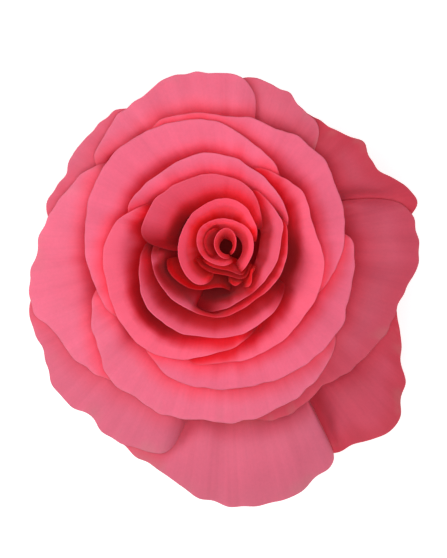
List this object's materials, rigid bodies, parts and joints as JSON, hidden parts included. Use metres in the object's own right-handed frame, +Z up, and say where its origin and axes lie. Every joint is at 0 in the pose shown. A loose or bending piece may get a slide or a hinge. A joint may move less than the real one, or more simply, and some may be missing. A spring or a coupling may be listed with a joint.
{
  "type": "rose head",
  "caption": "Full-blown pink rose head cut under the hip, petals spiralling out from a tight heart, resting on its bent-back sepals.",
  "frame": {"origin": "centre of the bounding box at its bottom, on the plane where the stem end and the sepal tips rest", "axes": "+Z up through the open flower, +Y towards the top of the picture and along the flower's longest extent, +X to the picture's right"},
  "size_m": [0.094, 0.105, 0.0621],
  "materials": {
    "petal": "soft matt pink petal",
    "heart_petal": "soft matt petal, deeper pink",
    "hip": "smooth waxy green",
    "stem": "green stem with a cut end",
    "sepal": "matt green leaf"
  },
  "bodies": {
    "root": {"heart": "heart_petal", "petal_01": "petal", "petal_02": "petal", "petal_03": "petal", "petal_04": "petal", "petal_05": "petal", "petal_06": "petal", "petal_07": "petal", "petal_08": "petal", "petal_09": "petal", "petal_10": "petal", "petal_11": "petal", "petal_12": "petal", "petal_13": "petal", "petal_14": "petal", "petal_15": "petal", "petal_16": "petal", "petal_17": "petal", "petal_18": "petal", "petal_19": "petal", "petal_20": "petal", "hip": "hip", "stem": "stem", "sepal_1": "sepal", "sepal_2": "sepal", "sepal_3": "sepal", "sepal_4": "sepal", "sepal_5": "sepal"}
  },
  "joints": []
}
